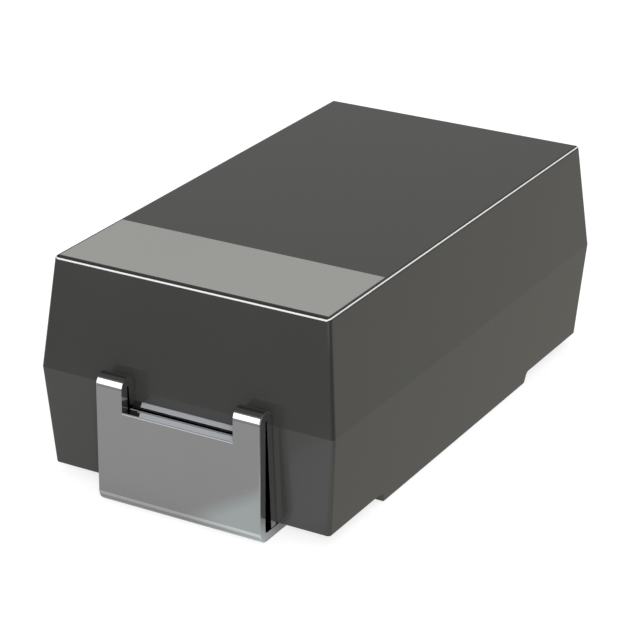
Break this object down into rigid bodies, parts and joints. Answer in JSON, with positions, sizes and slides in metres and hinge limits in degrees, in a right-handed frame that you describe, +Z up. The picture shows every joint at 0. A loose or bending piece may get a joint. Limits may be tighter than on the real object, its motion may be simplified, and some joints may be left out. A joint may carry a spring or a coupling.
{
  "type": "tantalum capacitor",
  "caption": "Moulded chip tantalum capacitor: drafted dark case with a light polarity band on top and folded, windowed tin-plated terminals at both ends.",
  "frame": {"origin": "on the seating plane, under the middle of the part", "axes": "+X along the length from the anode end with the polarity band (-X) to the cathode end, +Y across the width, +Z up from the seating plane"},
  "size_m": [0.0076, 0.004, 0.0029],
  "materials": {
    "moulding_compound": "smooth moulded epoxy, slight gloss",
    "band_print": "light grey print",
    "tinned_sheet": "bright tin over formed sheet",
    "sintered_tantalum": "matt porous sinter",
    "tantalum_wire": "drawn wire",
    "white_polymer": "matt",
    "graphite": "matt dip coat",
    "silver_paint": "matt silver-filled resin"
  },
  "bodies": {
    "root": {"moulded_case": "moulding_compound", "polarity_band": "band_print", "anode_terminal": "tinned_sheet", "cathode_terminal": "tinned_sheet", "tantalum_pellet": "sintered_tantalum", "riser_wire": "tantalum_wire", "insulating_washer": "white_polymer", "graphite_coat": "graphite", "silver_coat": "silver_paint", "silver_adhesive": "silver_paint"}
  },
  "joints": []
}
